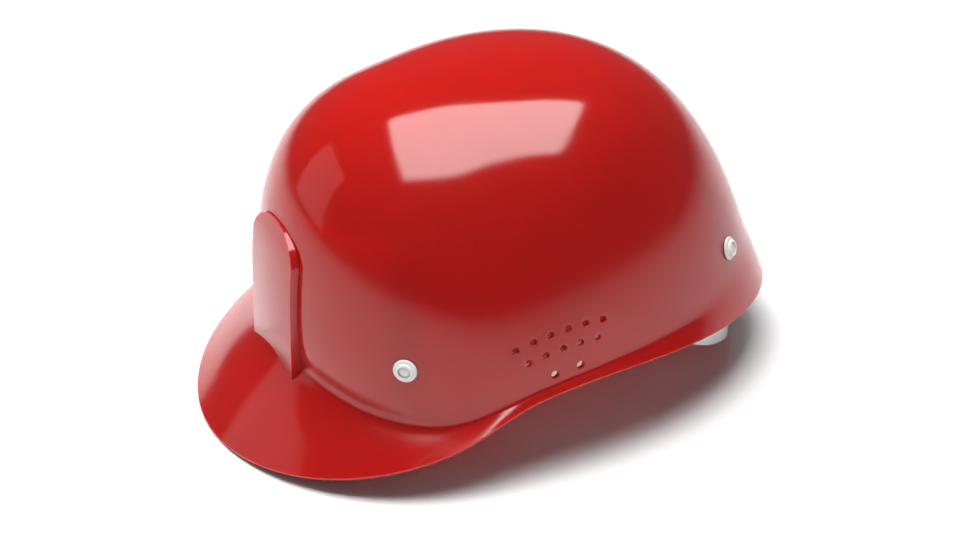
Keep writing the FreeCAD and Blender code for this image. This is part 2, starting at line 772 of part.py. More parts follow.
tipped_box = tipped.optimalBoundingBox(False, False)
back_shift = -(tipped_box.YMin + tipped_box.YMax) / 2
os.makedirs("parts", exist_ok=True)
for name, shape in parts.items():
    solid = shape.copy()
    solid.rotate(V(0, 0, 0), V(1, 0, 0), rest_tip)
    solid.translate(V(0, back_shift, -floor_z))
    if len(solid.Solids) == 1:
        solid = solid.Solids[0]
    print(name, solid.isValid(), len(solid.Solids), round(solid.Volume, 1))
    solid.exportStep("parts/" + name + ".step")
print("shift", back_shift, -floor_z)
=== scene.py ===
# %% [markdown]
# # Bump cap
# A bump cap is a light shell worn against knocks, not falling loads. This lesson
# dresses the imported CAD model: the moving parts stay where CAD puts them, and
# Blender gives the shell, the straps and the pad their finish.

# %% Load the frame
import json
import math
import bmesh
import bpy
from mathutils import Matrix, Vector
from mathutils.bvhtree import BVHTree

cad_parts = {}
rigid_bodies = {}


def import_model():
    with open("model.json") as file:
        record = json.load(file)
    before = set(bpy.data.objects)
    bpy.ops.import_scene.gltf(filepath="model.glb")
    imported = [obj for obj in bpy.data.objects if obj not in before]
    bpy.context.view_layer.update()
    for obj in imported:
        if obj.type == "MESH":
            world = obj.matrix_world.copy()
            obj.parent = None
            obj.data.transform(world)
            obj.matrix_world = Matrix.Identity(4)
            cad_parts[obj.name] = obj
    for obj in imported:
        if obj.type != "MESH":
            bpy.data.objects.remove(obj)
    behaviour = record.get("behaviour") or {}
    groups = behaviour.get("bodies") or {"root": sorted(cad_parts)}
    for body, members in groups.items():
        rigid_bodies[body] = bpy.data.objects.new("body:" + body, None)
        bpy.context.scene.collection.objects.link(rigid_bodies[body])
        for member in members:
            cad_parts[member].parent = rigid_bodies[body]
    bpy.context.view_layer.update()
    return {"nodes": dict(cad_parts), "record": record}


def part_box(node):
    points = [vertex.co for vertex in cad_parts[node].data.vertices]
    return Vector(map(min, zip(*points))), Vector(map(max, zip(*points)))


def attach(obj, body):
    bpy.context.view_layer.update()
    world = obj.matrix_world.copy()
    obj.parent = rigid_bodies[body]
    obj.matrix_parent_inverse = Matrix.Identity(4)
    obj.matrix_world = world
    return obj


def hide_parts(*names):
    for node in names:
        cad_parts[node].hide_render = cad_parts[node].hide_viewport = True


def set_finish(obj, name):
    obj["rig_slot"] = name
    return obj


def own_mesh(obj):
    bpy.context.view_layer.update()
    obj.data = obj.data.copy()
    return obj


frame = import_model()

MM = 0.001
TAU = 2.0 * math.pi

# %% [markdown]
# The cap was designed level and then tipped 10 degrees nose down onto the visor
# and the nape strap. Everything new is drawn level too, in millimetres, and the
# same move brings it into the frame. The shift is a fixed number, read off the
# box of the CAD shell.

# %% The move from the level drawing to the resting cap
REST_TIP = math.radians(10.0)
tip = Matrix.Rotation(REST_TIP, 4, "X")


def to_frame(shift):
    return Matrix.Translation(shift) @ tip @ Matrix.Scale(MM, 4)


rest_shift = Vector((0.0, -0.030088, 0.039835))
level_to_frame = to_frame(rest_shift)
AS_DRAWN = Matrix.Identity(4)
print("shift", rest_shift)

# %% [markdown]
# Small helpers. A finished piece sits at the origin with its place in its mesh,
# so `finish_piece` moves the points, not the object. `turned` makes anything
# round, and `boolean` drills and joins as a workshop would.

# %% Helpers for pieces
def finish_piece(bm, name, place=level_to_frame, smooth_angle=35.0, clean=True):
    """Turns a bmesh into an object at the origin, shaded smooth by angle."""
    if clean:
        bmesh.ops.remove_doubles(bm, verts=bm.verts, dist=1e-4)
        bmesh.ops.recalc_face_normals(bm, faces=bm.faces)
    bmesh.ops.transform(bm, matrix=place, verts=bm.verts)
    mesh = bpy.data.meshes.new(name)
    bm.to_mesh(mesh)
    bm.free()
    piece = bpy.data.objects.new(name, mesh)
    bpy.context.scene.collection.objects.link(piece)
    shade_by_angle(piece, smooth_angle)
    return piece


def shade_by_angle(piece, angle):
    mesh = piece.data
    for poly in mesh.polygons:
        poly.use_smooth = True
    mesh.set_sharp_from_angle(angle=math.radians(angle))


def apply_modifiers(piece):
    """Bakes the modifiers of a piece into its mesh."""
    graph = bpy.context.evaluated_depsgraph_get()
    baked = bpy.data.meshes.new_from_object(piece.evaluated_get(graph))
    old = piece.data
    piece.modifiers.clear()
    piece.data = baked
    bpy.data.meshes.remove(old)


def boolean(piece, other, operation):
    """Joins or cuts a piece with another, which is used up."""
    cut = piece.modifiers.new(operation.lower(), "BOOLEAN")
    cut.operation = operation
    cut.solver = "EXACT"
    cut.object = other
    apply_modifiers(piece)
    bpy.data.objects.remove(other, do_unlink=True)


def add_bevel(piece, width, segments=2, angle=35.0):
    edge = piece.modifiers.new("edge rounding", "BEVEL")
    edge.width = width
    edge.segments = segments
    edge.limit_method = "ANGLE"
    edge.angle_limit = math.radians(angle)
    edge.harden_normals = False
    edge.miter_outer = "MITER_ARC"


def turned(profile, steps=64):
    """A solid of revolution about Z from (radius, height) points, by the spin operator."""
    bm = bmesh.new()
    verts = [bm.verts.new((r, 0.0, z)) for r, z in profile]
    edges = [bm.edges.new(pair) for pair in zip(verts, verts[1:])]
    bmesh.ops.spin(bm, geom=verts + edges, cent=(0, 0, 0), axis=(0, 0, 1), angle=TAU,
                   steps=steps, use_merge=True, use_duplicate=False)
    bmesh.ops.remove_doubles(bm, verts=bm.verts, dist=1e-4)
    bmesh.ops.recalc_face_normals(bm, faces=bm.faces)
    return bm


def facing(origin, out):
    """A place whose Z looks along out and whose X is level."""
    across = Vector((0, 0, 1)).cross(out).normalized()
    up = out.cross(across)
    return Matrix.Translation(origin) @ Matrix((across, up, out)).transposed().to_4x4()


def joined(meshes):
    """Several bmeshes as one."""
    whole = bmesh.new()
    for bm in meshes:
        part = bpy.data.meshes.new("part")
        bm.to_mesh(part)
        bm.free()
        whole.from_mesh(part)
        bpy.data.meshes.remove(part)
    return whole


# %% [markdown]
# The camera and the light come first, so every later step can be looked at. The
# camera could be aimed by eye; here two angles and a distance place it, so the
# view can be told in three numbers. A long lens keeps the cap from bulging.

# %% Camera
CAMERA_AZIMUTH = math.radians(64.5)
CAMERA_ELEVATION = math.radians(31.5)
CAMERA_DISTANCE = 1.5
SENSOR_WIDTH = 36.0
LENS = 107.2
FAR_CLIP = 50.0
AIM = Vector((0.0, 0.0319, 0.0115))     # from the level drawing's origin to the middle of the view
aim = rest_shift + AIM
back = Vector((math.sin(CAMERA_AZIMUTH) * math.cos(CAMERA_ELEVATION),
               -math.cos(CAMERA_AZIMUTH) * math.cos(CAMERA_ELEVATION),
               math.sin(CAMERA_ELEVATION)))
camera_data = bpy.data.cameras.new("camera")
camera_data.sensor_width = SENSOR_WIDTH
camera_data.lens = LENS
camera_data.clip_end = FAR_CLIP
camera = bpy.data.objects.new("camera", camera_data)
camera.location = aim + back * CAMERA_DISTANCE
camera.rotation_euler = back.to_track_quat("Z", "Y").to_euler()
bpy.context.scene.collection.objects.link(camera)
bpy.context.scene.camera = camera
print("camera", camera.location)

# %% [markdown]
# The floor is a plain pale sheet, dull enough to show no reflection. It lies a
# hair below zero, so it never flickers through what rests on it.

# %% Floor
FLOOR_HALF = 8.0
FLOOR_DROP = 0.0002
bm = bmesh.new()
bmesh.ops.create_grid(bm, x_segments=1, y_segments=1, size=FLOOR_HALF)
floor_mesh = bpy.data.meshes.new("floor")
bm.to_mesh(floor_mesh)
bm.free()
floor = bpy.data.objects.new("floor", floor_mesh)
floor.location = (0, 0, -FLOOR_DROP)
bpy.context.scene.collection.objects.link(floor)
floor_paint = bpy.data.materials.new("floor")
floor_paint.use_nodes = True
floor_shader = floor_paint.node_tree.nodes["Principled BSDF"]
floor_shader.inputs["Base Color"].default_value = (0.95, 0.95, 0.95, 1)
floor_shader.inputs["Roughness"].default_value = 0.9
floor_shader.inputs["Specular IOR Level"].default_value = 0.1
floor_mesh.materials.append(floor_paint)
print("floor", 2 * FLOOR_HALF, "m wide")

# %% [markdown]
# Soft panels light the cap, as in a small product studio. The gloss shows the
# top panel and the front strip. The key panel, hung almost straight above, gives
# the form and the shadow and is kept out of the reflections. Thin red plastic
# also lets some light through, so the floor under such a cap glows. Subsurface on
# the shell alone throws too little of it on the floor, so a dim red panel inside
# the dome, unseen by the camera and by reflections, stands in for the rest.

# %% Light
def panel_light(name, place, aim_at, width, height, power, turn=0.0):
    data = bpy.data.lights.new(name, "AREA")
    data.shape = "RECTANGLE"
    data.size = width
    data.size_y = height
    data.energy = power
    lamp = bpy.data.objects.new(name, data)
    lamp.location = place
    look = (Vector(place) - Vector(aim_at)).to_track_quat("Z", "Y").to_matrix()
    lamp.rotation_euler = (look @ Matrix.Rotation(turn, 3, "Z")).to_euler()
    bpy.context.scene.collection.objects.link(lamp)
    return lamp


top_panel = panel_light("top_panel", (0.30, 0.25, 1.34), aim_at=(0.30, 0.25, 0.0), width=1.0, height=1.45,
                        power=36.0, turn=math.radians(-16))
top_panel.visible_diffuse = False
front_panel = panel_light("front_panel", (-0.80, -1.62, 0.70), aim_at=(0.0, -0.05, 0.08), width=1.05,
                          height=1.25, power=2.8)
key_panel = panel_light("key_panel", (-0.12, -0.12, 1.35), aim_at=(0.0, 0.0, 0.05), width=1.0, height=1.2,
                        power=32.0)
key_panel.visible_glossy = False
shell_glow = panel_light("shell_glow", (0.0, -0.02, 0.125), aim_at=(0.0, -0.02, 0.0), width=0.13, height=0.18,
                         power=0.025)
shell_glow.data.color = (1.0, 0.05, 0.04)
shell_glow.visible_camera = False
shell_glow.visible_glossy = False
world = bpy.data.worlds.new("studio")
bpy.context.scene.world = world
world.use_nodes = True
air = world.node_tree.nodes["Background"]
air.inputs["Color"].default_value = (0.9, 0.95, 1.0, 1)
air.inputs["Strength"].default_value = 0.12
bpy.context.scene.view_settings.view_transform = "Standard"     # the default one would pale the red

# %% [markdown]
# The shell is one moulding: dome, rim and visor flow into each other. Its skin
# is a spline surface through a net of 24 columns. A UV sphere carries it: the
# upper rings become the outside, the rings at the equator turn round the free
# edge, and the lower rings come back up as the inside, a wall's thickness away.

# %% Sizes of the shell, in millimetres
# Three values run front, side, back. Two more are the powers of the blend towards front and back.
half_width = 100.0
front_reach = 83.2
back_reach = 149.0
crown_height = 136.2
wall = 2.2
dome_power = (2.63, 2.15, 3.0)
lean = (0.016, 0.021, 0.190)
crown_shift = 0.021
rim_width = (46.0, 3.4, 6.2, 1.45, 2.0)
rim_z = (-16.4, 2.4, -38.0, 0.55, 3.0)
rim_rise = (35.5, 3.5, 30.0, 2.5, 4.0)
foot_fillet = 7.0
rim_crown = 0.05
edge_bulge = 0.7
COLS = 24
CROWN_SHARE = 0.20                  # the flat top ring, as a share of the dome's plan
DOME_STEPS = (27, 45, 62, 77)       # degrees down the dome's profile
FILLET_LIMIT = 0.34                 # the fillet's share of a narrow rim
END_SPLIT = 3                       # an extra row a third of the way in keeps each end smooth


def blend(angle, front, side, behind, front_power=2.0, back_power=2.0):
    """A value that runs from the front through the side to the back."""
    c = math.cos(angle)
    return (side + (front - side) * max(c, 0.0) ** front_power
            + (behind - side) * max(-c, 0.0) ** back_power)


def column(angle):
    """Control points of the outer skin in one column, crown to free edge."""
    power = blend(angle, *dome_power)
    spread = blend(angle, *lean)
    reach = front_reach if math.cos(angle) > 0 else back_reach
    plan = 1.0 / math.hypot(math.sin(angle) / half_width, math.cos(angle) / reach)
    edge_z = blend(angle, *rim_z)
    foot_z = edge_z + blend(angle, *rim_rise)
    width = blend(angle, *rim_width)

    def ring(share, z, out=0.0, height=None):
        r = share * (1 + spread * (1 - z / crown_height)) * plan + out
        return Vector((r * math.sin(angle), crown_shift * z - r * math.cos(angle),
                       z if height is None else height))

    rows = [Vector((0, crown_shift * crown_height, crown_height)), ring(CROWN_SHARE, crown_height)]
    for step in DOME_STEPS:
        t = math.radians(step)
        rows.append(ring(math.sin(t) ** (2 / power), crown_height * math.cos(t) ** (2 / power)))
    rows.append(ring(1.0, 0.5 * (foot_z + rows[-1].z)))
    rows.append(ring(1.0, foot_z + foot_fillet))
    foot = ring(1.0, foot_z)
    edge = ring(1.0, foot_z, width, edge_z)
    run = edge - foot
    near = min(foot_fillet / run.length, FILLET_LIMIT)
    lift = Vector((0, 0, rim_crown * width))
    rows += [foot, foot + run * near + lift * (2 * near), foot + run * (0.5 * (1 + near)) + lift, edge]
    rows.insert(1, rows[0] + (rows[1] - rows[0]) / END_SPLIT)
    rows.insert(-1, rows[-1] - (rows[-1] - rows[-2]) / END_SPLIT)
    return rows


def inset(net, depth):
    """The net moved inwards along its own normals; the rows at the crown move straight down."""
    result = []
    for j in range(COLS):
        left, here, right = net[j - 1], net[j], net[(j + 1) % COLS]
        line = []
        for i, p in enumerate(here):
            if i < 3:
                line.append(p - Vector((0, 0, depth)))
                continue
            fall = here[min(i + 1, len(here) - 1)] - here[i - 1]
            normal = fall.cross(right[i] - left[i]).normalized()
            line.append(p - normal * depth)
        result.append(line)
    return result


outer_net = [column(TAU * j / COLS) for j in range(COLS)]
inner_net = inset(outer_net, wall)
middle_net = inset(outer_net, wall / 2)
ROWS = len(outer_net[0])
print("net", COLS, "columns of", ROWS)

# %% [markdown]
# To put a point on the skin, the net is read twice: a smooth spline round the cap
# gives one column between its neighbours, and a second spline down that column
# gives the height. A subdivided cage would be quicker to build, but this is how
# the CAD surface is made too, so a size means the same in both.

# %% Reading the surface
def around(net, turn):
    """The rows of the net at one place round the cap (turn in columns)."""
    i = math.floor(turn)
    t = turn - i
    weights = ((1 - t) ** 3 / 6, (3 * t ** 3 - 6 * t ** 2 + 4) / 6,
               (-3 * t ** 3 + 3 * t ** 2 + 3 * t + 1) / 6, t ** 3 / 6)
    cols = [net[(i - 1 + k) % COLS] for k in range(4)]
    return [sum((cols[k][row] * weights[k] for k in range(4)), Vector((0, 0, 0))) for row in range(ROWS)]


KNOTS = [0] * 3 + list(range(ROWS - 2)) + [ROWS - 3] * 3


def down(rows, u):
    """A point of a clamped cubic spline through the rows, u from 0 to ROWS - 3."""
    span = min(int(u), ROWS - 4) + 3
    points = [rows[span - 3 + k] for k in range(4)]
    for level in range(1, 4):
        for k in range(3, level - 1, -1):
            low = KNOTS[span - 3 + k]
            high = KNOTS[span + 1 + k - level]
            a = (u - low) / (high - low)
            points[k] = points[k - 1] * (1 - a) + points[k] * a
    return points[3]


# %% [markdown]
# The skin has to be one closed sheet with a thickness, or light would leak into
# it. A UV sphere is already closed and evenly ringed, so each of its points is
# moved to its place on the outside, the free edge or the inside.

# %% The skin of the shell
AROUND = 288
OUTER_RINGS = 104
EDGE_RINGS = 6
INNER_RINGS = 64
CORE_AROUND = 144
CORE_OUTER_RINGS = 60
CORE_FLOOR_RINGS = 12
CORE_FLOOR = -70.0


def wrapped(outer, inner, outer_rings, edge_rings, inner_rings, around_count):
    """A closed skin: the outside, the rounded free edge, and the inside or a flat floor."""
    rings = outer_rings + edge_rings + inner_rings
    bm = bmesh.new()
    bmesh.ops.create_uvsphere(bm, u_segments=around_count, v_segments=rings, radius=1.0)
    columns = {}
    last = ROWS - 3.0
    for vert in bm.verts:
        ring = round(math.acos(max(-1.0, min(1.0, vert.co.z))) / math.pi * rings)
        angle = math.atan2(vert.co.x, -vert.co.y) % TAU
        key = round(angle / TAU * around_count) % around_count
        if key not in columns:
            turn = key / around_count * COLS
            columns[key] = (around(outer, turn), around(inner, turn) if inner else None)
        a, b = columns[key]
        if ring <= outer_rings:
            vert.co = down(a, last * ring / outer_rings)
        elif inner is None:
            share = (rings - ring) / (rings - outer_rings)
            vert.co = Vector((a[-1].x * share, a[-1].y * share, CORE_FLOOR))
        elif ring <= outer_rings + edge_rings:
            t = (ring - outer_rings) / edge_rings
            out = (a[-1] - a[-2]).normalized()
            lip = (a[-1] + b[-1]) / 2 + out * (2 * edge_bulge)
            vert.co = a[-1] * (1 - t) ** 2 + lip * (2 * t * (1 - t)) + b[-1] * t ** 2
        else:
            vert.co = down(b, last * (rings - ring) / inner_rings)
    return bm


shell = finish_piece(wrapped(outer_net, inner_net, OUTER_RINGS, EDGE_RINGS, INNER_RINGS, AROUND),
                     "shell_moulding", place=AS_DRAWN)
print("skin", len(shell.data.polygons), "faces")
skin_bm = bmesh.new()
skin_bm.from_mesh(shell.data)
skin_tree = BVHTree.FromBMesh(skin_bm)
skin_bm.free()


def on_skin(y, z):
    """Point and outward direction of the outside at a place on the wearer's left."""
    place, normal, _, _ = skin_tree.ray_cast(Vector((3 * half_width, y, z)), Vector((-1, 0, 0)))
    return place, normal if normal.x > 0 else -normal


# %% [markdown]
# The badge pad is a flat arch-topped step moulded on the front. Its face follows
# the dome's own profile from top to bottom but is straight from side to side, so
# it stands prouder at its edges. It is a rounded plug joined on with a Boolean.

# %% Badge pad
PAD_HALF = 25.0
PAD_BOTTOM = 4.0
PAD_SPRING = 70.0
PAD_TOP = 87.5
PAD_PROUD = 1.0
PAD_STRAIGHT = 44.0
PAD_ROUND = 0.5
PAD_OVERRUN = 6.0
ARCH_STEPS = 48
PROFILE_STEPS = 240
PLUG_FRONT = -125.0
PLUG_LENGTH = 83.0
SLAB_HALF = 50.0
SLAB_BACK = -40.0
front_rows = around(outer_net, 0.0)
front_line = [down(front_rows, (ROWS - 3.0) * i / PROFILE_STEPS) for i in range(PROFILE_STEPS + 1)]
face_line = [p for p in front_line if PAD_STRAIGHT < p.z < PAD_TOP + PAD_OVERRUN]


def outline_prism(points, travel):
    bm = bmesh.new()
    face = bm.faces.new([bm.verts.new(p) for p in points])
    grown = bmesh.ops.extrude_face_region(bm, geom=[face])
    moved = [g for g in grown["geom"] if isinstance(g, bmesh.types.BMVert)]
    bmesh.ops.translate(bm, vec=travel, verts=moved)
    bmesh.ops.recalc_face_normals(bm, faces=bm.faces)
    return bm


rise = PAD_TOP - PAD_SPRING
arch = [Vector((PAD_HALF * math.cos(a), PLUG_FRONT, PAD_SPRING + rise * math.sin(a)))
        for a in (math.pi * i / ARCH_STEPS for i in range(ARCH_STEPS + 1))]
outline = arch + [Vector((-PAD_HALF, PLUG_FRONT, PAD_BOTTOM)), Vector((PAD_HALF, PLUG_FRONT, PAD_BOTTOM))]
pad = finish_piece(outline_prism(outline, Vector((0, PLUG_LENGTH, 0))), "pad", place=AS_DRAWN)
side = [Vector((-SLAB_HALF, p.y - PAD_PROUD, p.z)) for p in face_line]
slope = (side[-1].y - side[-3].y) / (side[-1].z - side[-3].z)
foot_z = PAD_BOTTOM - PAD_OVERRUN
side += [Vector((-SLAB_HALF, side[-1].y + slope * (foot_z - side[-1].z), foot_z)),
         Vector((-SLAB_HALF, SLAB_BACK, foot_z)), Vector((-SLAB_HALF, SLAB_BACK, side[0].z))]
slab = finish_piece(outline_prism(side, Vector((2 * SLAB_HALF, 0, 0))), "slab", place=AS_DRAWN)
boolean(pad, slab, "INTERSECT")
add_bevel(pad, PAD_ROUND, 3, 60.0)
apply_modifiers(pad)
core = finish_piece(wrapped(middle_net, None, CORE_OUTER_RINGS, 0, CORE_FLOOR_RINGS, CORE_AROUND),
                    "core", place=AS_DRAWN)
boolean(pad, core, "DIFFERENCE")
boolean(shell, pad, "UNION")
print("pad joined", len(shell.data.polygons), "faces")

# %% [markdown]
# Vents and rivet holes are drilled square to the wall. Each vent's mouth is
# rounded, as a moulding pin leaves it, so the cutter widens towards the outside.

# %% Vents and rivet holes
VENT_RADIUS = 1.75
VENT_LOW_RADIUS = 2.0
VENT_PITCH = 9.6
VENT_LOW_PITCH = 14.3
# first vent's y, the row's height, how many, pitch, radius
VENT_ROWS = [(4.7, 32.3, 6, VENT_PITCH, VENT_RADIUS), (9.3, 23.0, 5, VENT_PITCH, VENT_RADIUS),
             (21.5, 10.5, 2, VENT_LOW_PITCH, VENT_LOW_RADIUS)]
VENT_ARC_Y = 18.0
VENT_ARC_RADIUS = 120.0
MOUTH = 0.5
DRILL_IN = 7.0
DRILL_OUT = 5.0
RIVET_HOLE = 3.3
RIVET_DRILL_IN = 8.0
RIVET_DRILL_OUT = 6.0
RIVET_PLACES = {"front": (-46.1, 32.5), "rear": (141.0, 9.5)}


def drill(radius, mouth):
    """A cutter for one vent: straight inside, rounded wider at the mouth."""
    profile = [(0, -DRILL_IN), (radius, -DRILL_IN), (radius, -mouth)]
    profile += [(radius + mouth * (1 - math.cos(a)), -mouth + mouth * math.sin(a))
                for a in (math.radians(30), math.radians(60), math.radians(84))]
    wide = radius + mouth * 1.2
    profile += [(wide, mouth), (wide, DRILL_OUT), (0, DRILL_OUT)]
    return turned(profile, 32)


def placed(cutter, y, z, mirror):
    """A cutter set square to the wall on the wearer's left (1) or right (-1)."""
    bmesh.ops.transform(cutter, matrix=facing(*on_skin(y, z)), verts=cutter.verts)
    bmesh.ops.scale(cutter, vec=(mirror, 1, 1), verts=cutter.verts)
    bmesh.ops.recalc_face_normals(cutter, faces=cutter.faces)
    return cutter


cutters = []
rivet_drill = [(0, -RIVET_DRILL_IN), (RIVET_HOLE, -RIVET_DRILL_IN), (RIVET_HOLE, RIVET_DRILL_OUT),
               (0, RIVET_DRILL_OUT)]
for first, height, count, pitch, radius in VENT_ROWS:
    for i in range(count):
        y = first + i * pitch
        z = height - (y - VENT_ARC_Y) ** 2 / (2 * VENT_ARC_RADIUS)
        cutters += [placed(drill(radius, MOUTH), y, z, mirror) for mirror in (1, -1)]
for y, z in RIVET_PLACES.values():
    cutters += [placed(turned(rivet_drill, 48), y, z, mirror) for mirror in (1, -1)]
drills = finish_piece(joined(cutters), "drills", place=AS_DRAWN, clean=False)
boolean(shell, drills, "DIFFERENCE")
shell.data.transform(level_to_frame)
shade_by_angle(shell, 38.0)
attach(shell, "cap")
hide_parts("shell")
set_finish(shell, "red_shell")
print("shell", len(shell.data.polygons), "faces")

# %% [markdown]
# Each push rivet is a turned nylon body with a flange and a raised collar, and
# a pin pressed into it. The spin operator turns the profile, and a small bevel
# takes the sharpness off, as moulded nylon never has a sharp edge.

# %% Rivets
HANGER_GAP = 0.8
HANGER_THICK = 2.6
SEAT = 0.15
BARB_LENGTH = 3.4
BARB_STEP = 1.2
BARB_RADIUS = 4.2
BARB_TIP = 2.3
SHANK = 3.2
FLANGE = 6.0
FLANGE_HEIGHT = 1.5
FLANGE_SIDE = 0.9
FLANGE_CHAMFER = 0.6
COLLAR = 4.3
COLLAR_HEIGHT = 3.0
COLLAR_CHAMFER = 0.4
RECESS = 3.1
RECESS_FLOOR = 1.2
BORE = 1.55
PIN = 1.5
PIN_POINT = 0.9
PIN_POINT_LENGTH = 0.8
PIN_SHORT = 0.4
PIN_HEAD = 2.7
PIN_HEAD_LOW = 1.25
DRAFT = 0.05                # a moulded wall leans this much
RIVET_BEVEL = 0.00018
GRIP = wall + HANGER_GAP + HANGER_THICK
RIVET_END = GRIP + SEAT + BARB_LENGTH
CATCH = -(GRIP + SEAT)
RIVET_PROFILE = [(BORE, -RIVET_END), (BARB_TIP, -RIVET_END), (BARB_RADIUS, CATCH - BARB_STEP),
                 (BARB_RADIUS, CATCH), (SHANK, CATCH), (SHANK, SEAT), (FLANGE, SEAT), (FLANGE, FLANGE_SIDE),
                 (FLANGE - FLANGE_CHAMFER, FLANGE_HEIGHT), (COLLAR + DRAFT, FLANGE_HEIGHT),
                 (COLLAR, COLLAR_HEIGHT - COLLAR_CHAMFER), (COLLAR - COLLAR_CHAMFER, COLLAR_HEIGHT),
                 (RECESS, COLLAR_HEIGHT), (RECESS - DRAFT, RECESS_FLOOR), (BORE, RECESS_FLOOR),
                 (BORE, -RIVET_END)]
PIN_DOME = [(PIN_HEAD, 1.8), (2.2, 2.2), (1.2, 2.35), (0, 2.4)]
PIN_PROFILE = [(0, -RIVET_END + PIN_SHORT), (PIN_POINT, -RIVET_END + PIN_SHORT),
               (PIN, -RIVET_END + PIN_SHORT + PIN_POINT_LENGTH), (PIN, PIN_HEAD_LOW),
               (PIN_HEAD, PIN_HEAD_LOW)] + PIN_DOME
for row, place in RIVET_PLACES.items():
    spot = facing(*on_skin(*place))
    for side_name, mirror in (("left", 1), ("right", -1)):
        flip = Matrix.Scale(mirror, 4, (1, 0, 0))
        for label, profile in (("rivet", RIVET_PROFILE), ("rivet_pin", PIN_PROFILE)):
            node = label + "_" + row + "_" + side_name
            piece = finish_piece(turned(profile, 72), node + "_turned",
                                 place=level_to_frame @ flip @ spot)
            if mirror < 0:
                piece.data.flip_normals()
            add_bevel(piece, RIVET_BEVEL, 2, 28.0)
            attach(piece, "cap")
            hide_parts(node)
            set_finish(piece, "white_nylon")
print("rivets turned")

# %% [markdown]
# Straps, hangers, headband, nape strap and lock pins keep their CAD shape. A
# merged copy of each gets its edges rounded, because light catches the edge of
# a moulding and a knife-sharp edge looks false.

# %% Moulded suspension pieces
def softened(node, width, segments=2):
    bm = bmesh.new()
    bm.from_mesh(frame["nodes"][node].data)
    bmesh.ops.remove_doubles(bm, verts=bm.verts, dist=2e-6)
    bmesh.ops.dissolve_limit(bm, angle_limit=math.radians(0.6), verts=bm.verts, edges=bm.edges)
    piece = finish_piece(bm, node + "_moulded", place=AS_DRAWN, clean=False)
    add_bevel(piece, width, segments, 40.0)
    return piece


# node: the width of its rounding in metres, its body, its finish
soft_nodes = {"headband": (0.0004, "cap", "natural_ldpe"), "nape_strap": (0.0005, "nape", "natural_ldpe")}
for row in ("upper", "lower"):
    soft_nodes["crown_strap_" + row] = (0.00025, "cap", "natural_ldpe")
for side_name in ("left", "right"):
    soft_nodes["lock_pin_" + side_name] = (0.0003, "lock_" + side_name, "white_nylon")
for row in ("front", "rear"):
    for side_name in ("left", "right"):
        soft_nodes["hanger_" + row + "_" + side_name] = (0.00035, "cap", "white_nylon")
for node, (width, body, slot_name) in soft_nodes.items():
    piece = softened(node, width)
    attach(piece, body)
    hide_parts(node)
    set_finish(piece, slot_name)
print("suspension", len(soft_nodes), "pieces")

# %% [markdown]
# Each lock pin has a small coil spring behind its knob. CAD gives it a faceted
# wire; here a ring is swept along the coil by the spin operator, whose step along
# the axis (dvec) makes the helix. The real spring shortens as the pin is pulled;
# this coil is fixed to the cap and keeps its length.

# %% Lock springs
SPRING_WIRE = 0.00025
WIRE_SIDES = 12
SPRING_TURNS = 3
STEPS_PER_TURN = 40
for side_name, mirror in (("left", 1), ("right", -1)):
    low, high = (Vector(corner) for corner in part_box("lock_spring_" + side_name))
    middle = (low + high) / 2
    length = high.x - low.x - 2 * SPRING_WIRE
    coil_radius = (high.z - low.z) / 2 - SPRING_WIRE
    bm = bmesh.new()
    bmesh.ops.create_circle(bm, cap_ends=False, segments=WIRE_SIDES, radius=SPRING_WIRE)
    bmesh.ops.rotate(bm, cent=(0, 0, 0), matrix=Matrix.Rotation(math.pi / 2, 3, "X"), verts=bm.verts)
    bmesh.ops.translate(bm, vec=(low.x + SPRING_WIRE, middle.y, middle.z + coil_radius), verts=bm.verts)
    steps = SPRING_TURNS * STEPS_PER_TURN
    bmesh.ops.spin(bm, geom=bm.verts[:] + bm.edges[:], cent=middle, axis=(1, 0, 0),
                   dvec=(length / steps, 0, 0), angle=TAU * SPRING_TURNS, steps=steps,
                   use_merge=False, use_duplicate=False)
    ends = [e for e in bm.edges if e.is_boundary]
    bmesh.ops.holes_fill(bm, edges=ends, sides=0)
    spring = finish_piece(bm, "lock_spring_" + side_name + "_coil", place=AS_DRAWN, clean=False)
    bm = bmesh.new()
    bm.from_mesh(spring.data)
    bmesh.ops.recalc_face_normals(bm, faces=bm.faces)
    bm.to_mesh(spring.data)
    bm.free()
    shade_by_angle(spring, 40.0)
    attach(spring, "cap")
    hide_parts("lock_spring_" + side_name)
    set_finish(spring, "spring_steel")
    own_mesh(spring)
    print("spring", side_name, len(spring.data.polygons), "faces")

# %% [markdown]
# The brow pad is foam in a knitted cover, stitched round its border and bent
# round the inside of the headband. A grid laid along the bend is given its
# thickness with solidify. Cloth with a little pressure then swells the foam
# between the seams, and a cap on how far it may move keeps it off the band.

# %% Brow pad
BAND_HALF_WIDTH = 86.0
BAND_FRONT_Y = -76.0
BAND_BACK_Y = 142.0
BAND_POWER = 2.5
BAND_THICK = 1.8
BROW_HALF_ANGLE = math.radians(42.0)
BROW_STEPS = 400
BROW_GAP = 0.3
BROW_THICK = 5.0
BROW_LOW = -12.0
BROW_HIGH = 15.0
BROW_CORNER = 6.0
BROW_BACK = 0.25            # the back of the cover, off the band
SEAM_MARGIN = 2.6
SEAM_THICK = 1.3
SEAM_ROUND = 0.8
FOAM_RISE = 5.0             # from the seam in to full thickness
band_mid_y = (BAND_FRONT_Y + BAND_BACK_Y) / 2
band_half_length = (BAND_BACK_Y - BAND_FRONT_Y) / 2


def band_point(angle):
    s, c = math.sin(angle), math.cos(angle)
    return Vector((math.copysign(abs(s) ** (2 / BAND_POWER), s) * BAND_HALF_WIDTH,
                   band_mid_y - math.copysign(abs(c) ** (2 / BAND_POWER), c) * band_half_length, 0))


